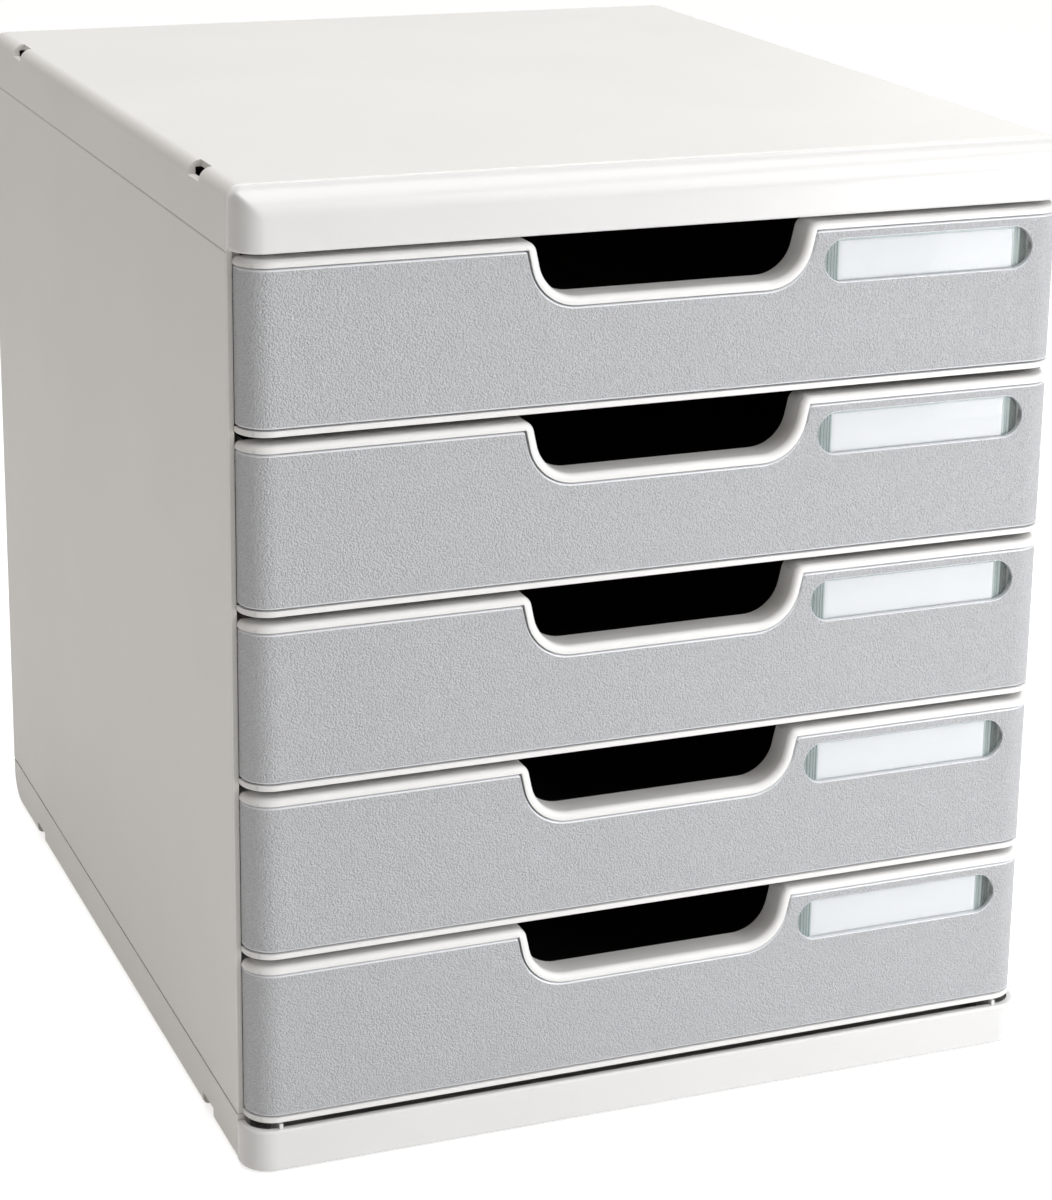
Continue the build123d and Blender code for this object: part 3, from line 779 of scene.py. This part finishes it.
class DRAWERUNIT_OT_drawers(bpy.types.Operator):
    """Finishes the drawers' lips, grained facings, and trays darkened as painted shade"""
    bl_idname = "drawer_unit.drawers"
    bl_label = "Finish Drawers"
    bl_options = {"REGISTER", "UNDO"}

    def execute(self, context):
        h = context.scene.drawer_unit_housing
        s = context.scene.drawer_unit_drawers
        lip = material_named("lip_plastic", front_plastic, h.lip_colour, s.pocket_shade_colour,
                             h.lip_roughness, WINDOW_HIGH.y)
        facing = material_named("facing_grain", grained_facing, s.facia_colour, s.facia_roughness,
                                s.pebble, s.pebble_height)
        tray = material_named("tray_shell", moulded_plastic, s.tray_shade_colour, s.tray_roughness,
                              s.tray_grain, s.tray_grain_depth, s.tray_mottle)
        for number in DRAWERS:
            give(frame["nodes"][f"drawer_{number}_front"], lip)
            give(frame["nodes"][f"drawer_{number}_facia"], facing)
            give(frame["nodes"][f"drawer_{number}_tray"], tray)
        return {"FINISHED"}


class DRAWERUNIT_OT_windows(bpy.types.Operator):
    """Models the clear label windows: rounded ends, polished rims and ribbed grips"""
    bl_idname = "drawer_unit.windows"
    bl_label = "Model Label Windows"
    bl_options = {"REGISTER", "UNDO"}

    def execute(self, context):
        s = context.scene.drawer_unit_windows
        low, high = WINDOW_LOW, WINDOW_HIGH
        radius = (high.z - low.z) / 2
        straight = (high.x - low.x) / 2 - radius
        middle = (low + high) / 2
        deselect_all()
        bpy.ops.mesh.primitive_circle_add(vertices=64, radius=radius, fill_type="NGON",
                                          location=(middle.x, low.y, middle.z),
                                          rotation=(math.radians(90), 0, 0))
        pane = name_active("label_window_1")
        bpy.ops.object.transform_apply(location=True, rotation=True, scale=True)
        edit(pane, "VERT")
        for side in (-1, 1):
            pick(pane, "VERT", lambda co: side * (co.x - middle.x) > HAIR)
            bpy.ops.transform.translate(value=(side * straight, 0, 0))
        bpy.ops.mesh.select_all(action="SELECT")
        bpy.ops.mesh.extrude_region_move(TRANSFORM_OT_translate={"value": (0, high.y - low.y, 0)})
        bpy.ops.mesh.select_all(action="SELECT")
        bpy.ops.mesh.normals_make_consistent(inside=False)
        pick(pane, "EDGE", lambda mid, way: mid.y < low.y + HAIR)
        bpy.ops.mesh.bevel(offset=s.rim, segments=4, profile=0.6, affect="EDGES")
        start = (CARD_HIGH.x - CARD_LOW.x) / 2 + s.grip_pitch * 0.5
        for side in (-1, 1):
            for step in range(2 * s.grip_ribs + 1):
                cut((middle.x + side * (start + step * s.grip_pitch / 2), 0, 0), (1, 0, 0))
        for side in (-1, 1):
            for step in range(1, 2 * s.grip_ribs, 2):
                x = middle.x + side * (start + step * s.grip_pitch / 2)
                pick(pane, "VERT", lambda co: abs(co.x - x) < 2 * HAIR and co.y > high.y - HAIR)
                bpy.ops.transform.translate(value=(0, -s.grip_depth, 0))
        finish_mesh(pane, 28.0)
        # painted light and shade on the grip: flanks of the ribs that face +x take the lit copy and those
        # facing -x the dark shaded copy
        give(pane,
             material_named("clear_window", clear_plastic, s.tint, *CLEAR_LOOK),
             material_named("grip_pale", clear_plastic, shade_of(s.tint, 0.95), *GRIP_LIT_LOOK),
             material_named("grip_dark", clear_plastic, shade_of(s.tint, 0.3), *GRIP_SHADED_LOOK))
        for face in pane.data.polygons:
            sideways = abs(face.normal.x) > 0.3 and abs(face.normal.z) < 0.2
            if sideways and face.center.y > low.y + 0.5 * MM:
                face.material_index = 1 if face.normal.x > 0 else 2
        for number in DRAWERS:
            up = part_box(f"drawer_{number}_label_window")[0].z - low.z
            piece = pane if number == DRAWERS[0] else copied(pane, f"label_window_{number}", up)
            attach(piece, f"drawer_{number}")
            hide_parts(f"drawer_{number}_label_window")
        return {"FINISHED"}


class DRAWERUNIT_OT_cards(bpy.types.Operator):
    """Models the blank cards with their perforated lower edge"""
    bl_idname = "drawer_unit.cards"
    bl_label = "Model Label Cards"
    bl_options = {"REGISTER", "UNDO"}

    def execute(self, context):
        s = context.scene.drawer_unit_windows
        low, high = CARD_LOW, CARD_HIGH
        card = block("label_card_1", low, high)
        edit(card, "EDGE")
        bpy.ops.mesh.select_all(action="SELECT")
        bpy.ops.mesh.bevel(offset=s.paper_edge, segments=2, affect="EDGES")
        count = int((high.x - low.x) / s.perforation)
        first = (low.x + high.x) / 2 - (count - 1) * s.perforation / 2
        half = s.perforation_width / 2
        for index in range(count):
            for edge_x in (-half, half):
                cut((first + index * s.perforation + edge_x, 0, 0), (1, 0, 0))
        cut((0, 0, low.z + s.perforation_depth), (0, 0, 1))

        def in_cut(middle, normal):
            place = (middle.x - first + s.perforation / 2) % s.perforation - s.perforation / 2
            inside = abs(place) < half and first - half < middle.x < first + count * s.perforation
            return inside and middle.z < low.z + s.perforation_depth - CUT_WELD

        pick(card, "FACE", in_cut)
        bpy.ops.mesh.delete(type="FACE")
        bpy.ops.mesh.select_mode(type="EDGE")
        bpy.ops.mesh.select_all(action="DESELECT")
        bpy.ops.mesh.select_non_manifold(extend=False)
        bpy.ops.mesh.fill_holes(sides=0)
        finish_mesh(card, 30.0)
        give(card, material_named("card_paper", paper, s.paper))
        for number in DRAWERS:
            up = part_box(f"drawer_{number}_label_card")[0].z - low.z
            piece = card if number == DRAWERS[0] else copied(card, f"label_card_{number}", up)
            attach(piece, f"drawer_{number}")
            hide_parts(f"drawer_{number}_label_card")
        return {"FINISHED"}


# Camera: turn, rise and roll in degrees, distance in metres from a point in the unit, steps to the
# side and up, and the focal length in pixels of a picture of the photo's height
CAMERA_TURN = -21.736
CAMERA_RISE = 16.126
CAMERA_ROLL = 0.796
CAMERA_DISTANCE = 1.16781
CAMERA_SIDE = 0.01847
CAMERA_UP = 0.02274
CAMERA_AIM = Vector((0.0, 0.002, 0.160))
CAMERA_FOCAL = 3089.49
PHOTO_HEIGHT = 1200.0
CAMERA_SHIFT = -0.12
FILM_SIZE = 36.0

# Stage: the floor's edge length in metres, the warmth of the surround on the unit's left side, and for
# each lamp its place, the point that it aims at, its edge length and the setting that holds its power
FLOOR_SIZE = 12.0
WARM_LEFT = (1.0, 0.90, 0.77)
LAMPS = {
    "key_light": ((0.95, -1.25, 1.05), (0.0, 0.0, 0.17), 1.1, "key_power"),
    "low_light": ((0.62, -0.85, 0.13), (0.0, -0.1, 0.10), 0.25, "low_power"),
    "top_light": ((0.1, -0.1, 1.7), (0.0, 0.0, 0.2), 1.5, "top_power"),
    "back_light": ((1.3, 1.0, 0.7), (0.0, 0.0, 0.17), 1.2, "back_power"),
}


class DRAWERUNIT_OT_stage(bpy.types.Operator):
    """Sets up the pale floor, the soft lights, the white surround and the camera"""
    bl_idname = "drawer_unit.stage"
    bl_label = "Set Stage"
    bl_options = {"REGISTER", "UNDO"}

    def execute(self, context):
        s = context.scene.drawer_unit_stage
        self.make_camera(context)
        self.make_floor(s)
        self.make_surround(context, s)
        for name, (place, aim, size, power) in LAMPS.items():
            self.make_light(name, place, aim, size, getattr(s, power))
        context.scene.view_settings.view_transform = "Standard"
        return {"FINISHED"}

    def make_camera(self, context):
        """Sets the camera where the photo was taken from."""
        turn, rise, roll = (math.radians(v) for v in (CAMERA_TURN, CAMERA_RISE, CAMERA_ROLL))
        back = Vector((math.sin(turn) * math.cos(rise), -math.cos(turn) * math.cos(rise), math.sin(rise)))
        level = Vector((math.cos(turn), math.sin(turn), 0.0))
        up = level.cross(-back).normalized()
        right = level * math.cos(roll) + up * math.sin(roll)
        up = -level * math.sin(roll) + up * math.cos(roll)
        deselect_all()
        bpy.ops.object.camera_add()
        camera = name_active("camera")
        camera.data.sensor_width = FILM_SIZE
        camera.data.lens = CAMERA_FOCAL / PHOTO_HEIGHT * FILM_SIZE
        camera.data.shift_y = CAMERA_SHIFT
        camera.data.clip_start = 0.05
        camera.data.clip_end = 50.0
        place = CAMERA_AIM + back * CAMERA_DISTANCE + right * CAMERA_SIDE + up * CAMERA_UP
        turned = Matrix((right, up, back)).transposed().to_4x4()
        camera.matrix_world = Matrix.Translation(place) @ turned
        context.scene.camera = camera

    def make_floor(self, s):
        """Lays a pale floor that keeps the unit's shadow and fades into the white background."""
        deselect_all()
        bpy.ops.mesh.primitive_plane_add(size=FLOOR_SIZE, location=(0, 0, 0))
        floor = name_active("floor")
        material, tree, shader = new_material("floor")
        place = object_place(tree)
        cloud = noise(tree, place, FLOOR_CLOUD, 2.0)
        tree.links.new(tinted(tree, cloud, shade_of(s.floor_colour, 0.985), s.floor_colour),
                       shader.inputs["Base Color"])
        shader.inputs["Roughness"].default_value = 0.75
        shader.inputs["Emission Color"].default_value = (*WHITE, 1.0)
        lift = between(tree, background_rays(tree), 0.0, s.floor_lift)
        tree.links.new(lift, shader.inputs["Emission Strength"])
        give(floor, material)

    def make_surround(self, context, s):
        """Lights the unit evenly from all round, and shows white behind it."""
        world = bpy.data.worlds.new("surround")
        context.scene.world = world
        world.use_nodes = True
        tree = world.node_tree
        tree.nodes.clear()
        output = add_node(tree, "ShaderNodeOutputWorld")
        direction = add_node(tree, "ShaderNodeTexCoord").outputs["Generated"]
        across = ramp(tree, split(tree, direction)["X"], -0.6, 0.6)
        light = add_node(tree, "ShaderNodeBackground")
        tree.links.new(tinted(tree, across, WARM_LEFT, WHITE), light.inputs["Color"])
        light.inputs["Strength"].default_value = s.surround
        white = add_node(tree, "ShaderNodeBackground")
        white.inputs["Color"].default_value = (*WHITE, 1.0)
        white.inputs["Strength"].default_value = 1.0
        mixed = add_node(tree, "ShaderNodeMixShader")
        tree.links.new(background_rays(tree), mixed.inputs["Fac"])
        tree.links.new(light.outputs["Background"], mixed.inputs[1])
        tree.links.new(white.outputs["Background"], mixed.inputs[2])
        tree.links.new(mixed.outputs["Shader"], output.inputs["Surface"])

    def make_light(self, name, place, aim, size, power):
        """Hangs a square soft lamp that aims at a point."""
        deselect_all()
        bpy.ops.object.light_add(type="AREA", location=place)
        lamp = name_active(name)
        lamp.data.shape = "SQUARE"
        lamp.data.size = size
        lamp.data.energy = power
        way = Vector(aim) - Vector(place)
        lamp.rotation_mode = "QUATERNION"
        lamp.rotation_quaternion = way.to_track_quat("-Z", "Y")


# Panel and start

class DRAWERUNIT_PT_panel(bpy.types.Panel):
    """Lists the drawer unit's pieces and their settings"""
    bl_idname = "DRAWERUNIT_PT_panel"
    bl_label = "Drawer Unit"
    bl_space_type = "VIEW_3D"
    bl_region_type = "UI"
    bl_category = "Drawer Unit"

    def draw(self, context):
        for settings, operators in SECTIONS:
            box = self.layout.box()
            group = getattr(context.scene, settings)
            for name in group.__annotations__:
                box.prop(group, name)
            for operator in operators:
                box.operator(operator.bl_idname)


SETTINGS = {
    "drawer_unit_housing": HousingSettings,
    "drawer_unit_top_rail": TopRailSettings,
    "drawer_unit_drawers": DrawerSettings,
    "drawer_unit_windows": WindowSettings,
    "drawer_unit_stage": StageSettings,
}
SECTIONS = (
    ("drawer_unit_housing", (DRAWERUNIT_OT_housing,)),
    ("drawer_unit_top_rail", (DRAWERUNIT_OT_top_rail,)),
    ("drawer_unit_drawers", (DRAWERUNIT_OT_drawers,)),
    ("drawer_unit_windows", (DRAWERUNIT_OT_windows, DRAWERUNIT_OT_cards)),
    ("drawer_unit_stage", (DRAWERUNIT_OT_stage,)),
)
CLASSES = (
    *SETTINGS.values(),
    DRAWERUNIT_OT_housing,
    DRAWERUNIT_OT_top_rail,
    DRAWERUNIT_OT_drawers,
    DRAWERUNIT_OT_windows,
    DRAWERUNIT_OT_cards,
    DRAWERUNIT_OT_stage,
    DRAWERUNIT_PT_panel,
)


def register():
    """Makes the settings, the operators and the panel known."""
    for cls in CLASSES:
        bpy.utils.register_class(cls)
    for name, cls in SETTINGS.items():
        setattr(bpy.types.Scene, name, bpy.props.PointerProperty(type=cls))


def unregister():
    """Takes them away again."""
    for name in SETTINGS:
        delattr(bpy.types.Scene, name)
    for cls in reversed(CLASSES):
        bpy.utils.unregister_class(cls)


def main():
    """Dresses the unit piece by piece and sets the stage."""
    register()
    bpy.ops.drawer_unit.housing()
    bpy.ops.drawer_unit.top_rail()
    bpy.ops.drawer_unit.drawers()
    bpy.ops.drawer_unit.windows()
    bpy.ops.drawer_unit.cards()
    bpy.ops.drawer_unit.stage()
    bpy.context.view_layer.update()


if __name__ == "__main__":
    main()
